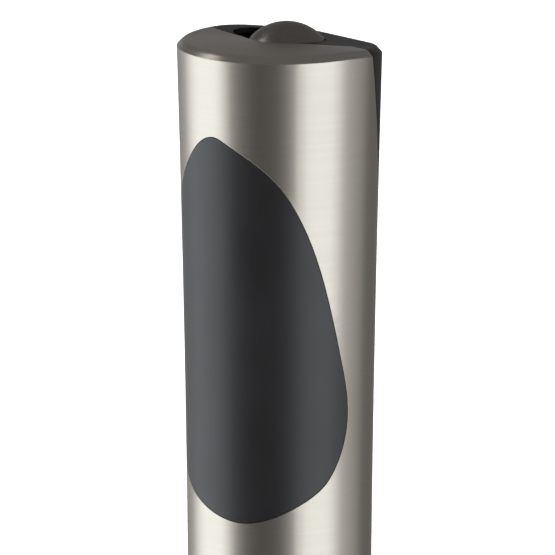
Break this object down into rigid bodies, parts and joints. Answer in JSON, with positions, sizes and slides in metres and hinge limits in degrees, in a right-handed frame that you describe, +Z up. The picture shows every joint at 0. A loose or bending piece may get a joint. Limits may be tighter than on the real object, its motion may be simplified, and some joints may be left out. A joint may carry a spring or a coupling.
{
  "type": "electric can opener",
  "caption": "Upright electric can opener: brushed-metal tower on an oval base, domed lever knob on top, black front with cutting wheel, toothed drive wheel and swinging lid magnet.",
  "frame": {"origin": "on the surface it stands on, under the middle of the base", "axes": "+Z up along the tower, -Y the front where the can hangs, +X the user's right"},
  "size_m": [0.112, 0.128, 0.251],
  "materials": {
    "brushed_nickel": "brushed round the tower",
    "dark_nickel": "satin, darker than the shell",
    "black_housing": "fine moulded texture",
    "soft_grip": "soft matte",
    "foot_rubber": "matte",
    "inner_plastic": "plain moulded",
    "white_nylon": "natural nylon",
    "polished_steel": "polished",
    "stamped_steel": "zinc plated",
    "hard_steel": "ground",
    "sintered_bronze": "oiled",
    "spring_steel": "drawn wire",
    "laminated_iron": "stacked sheets",
    "magnet_wire": "enamelled copper",
    "brass": "plain",
    "cast_zinc": "as cast",
    "magnet_face": "nickel plated"
  },
  "bodies": {
    "housing": {"steel_shell": "brushed_nickel", "grip_pad": "soft_grip", "front_cover": "black_housing", "cover_screws": "stamped_steel", "can_guides": "polished_steel", "wear_plate": "polished_steel", "wear_plate_rivets": "polished_steel", "base_tray": "black_housing", "cord_gland": "foot_rubber", "base_plate": "black_housing", "base_plate_screws": "stamped_steel", "rubber_feet": "foot_rubber", "ballast_plate": "stamped_steel", "inner_frame": "inner_plastic", "base_screws": "stamped_steel", "frame_screws": "stamped_steel", "mechanism_plate": "stamped_steel", "gear_plate": "stamped_steel", "plate_spacers": "hard_steel", "idler_axles": "hard_steel", "shaft_bush_front": "sintered_bronze", "shaft_bush_rear": "sintered_bronze", "lever_pivot_pin": "hard_steel", "lever_spring": "spring_steel", "start_switch": "inner_plastic", "switch_terminals": "brass", "motor_bracket_front": "stamped_steel", "motor_bracket_rear": "stamped_steel", "stator_core": "laminated_iron", "motor_bearings": "sintered_bronze", "motor_standoffs": "hard_steel", "motor_screws": "stamped_steel", "coil_bobbin": "white_nylon", "coil_winding": "magnet_wire", "magnet_bracket": "polished_steel", "magnet_pin": "polished_steel"},
    "lever": {"cutter_lever": "cast_zinc", "dome_cap": "dark_nickel", "dome_core": "black_housing", "cutter_axle": "polished_steel", "cutter_washer": "hard_steel", "cutter_screw": "polished_steel"},
    "cutter": {"cutting_wheel": "polished_steel"},
    "drive": {"drive_wheel": "hard_steel", "drive_wheel_screw": "polished_steel", "drive_shaft": "hard_steel", "final_gear": "white_nylon"},
    "second_idler": {"second_gear": "white_nylon"},
    "first_idler": {"first_gear": "white_nylon"},
    "motor_rotor": {"rotor": "laminated_iron", "rotor_shaft": "hard_steel", "motor_pinion": "brass", "cooling_fan": "inner_plastic"},
    "magnet_holder": {"magnet_arm": "polished_steel", "magnet": "magnet_face"},
    "switch_button": {"switch_plunger": "white_nylon"}
  },
  "joints": [
    {"name": "lever_swing", "type": "hinge", "parent": "housing", "child": "lever", "pos_m": [-0.0165, -0.0105, 0.2165], "axis": [0, 1, 0], "range_deg": [0, 18], "stiffness_Nm_per_rad": 1.5, "springref_deg": -17.19, "deforming": ["lever_spring"]},
    {"name": "cutter_spin", "type": "hinge", "parent": "lever", "child": "cutter", "pos_m": [0.00011, -0.0231, 0.22526], "axis": [0, 1, 0], "continuous": true},
    {"name": "rotor_spin", "type": "hinge", "parent": "housing", "child": "motor_rotor", "pos_m": [0, 0.016, 0.1278], "axis": [0, 1, 0], "continuous": true},
    {"name": "first_idler_spin", "type": "hinge", "parent": "housing", "child": "first_idler", "pos_m": [0, 0.016, 0.1526], "axis": [0, 1, 0], "continuous": true},
    {"name": "second_idler_spin", "type": "hinge", "parent": "housing", "child": "second_idler", "pos_m": [0, 0.016, 0.1766], "axis": [0, 1, 0], "continuous": true},
    {"name": "drive_spin", "type": "hinge", "parent": "housing", "child": "drive", "pos_m": [0, 0.016, 0.203], "axis": [0, 1, 0], "continuous": true},
    {"name": "magnet_tilt", "type": "hinge", "parent": "housing", "child": "magnet_holder", "pos_m": [0.0175, -0.0215, 0.226], "axis": [1, 0, 0], "range_deg": [-60, 0]},
    {"name": "switch_press", "type": "slide", "parent": "housing", "child": "switch_button", "axis": [0, 0, -1], "range_m": [0, 0.0011]}
  ],
  "couplings": [
    {"joint": "first_idler_spin", "follows": "rotor_spin", "ratio": -0.24},
    {"joint": "second_idler_spin", "follows": "rotor_spin", "ratio": 0.06},
    {"joint": "drive_spin", "follows": "rotor_spin", "ratio": -0.013333},
    {"joint": "switch_press", "follows": "lever_swing", "m_per_rad": 0.0035}
  ]
}
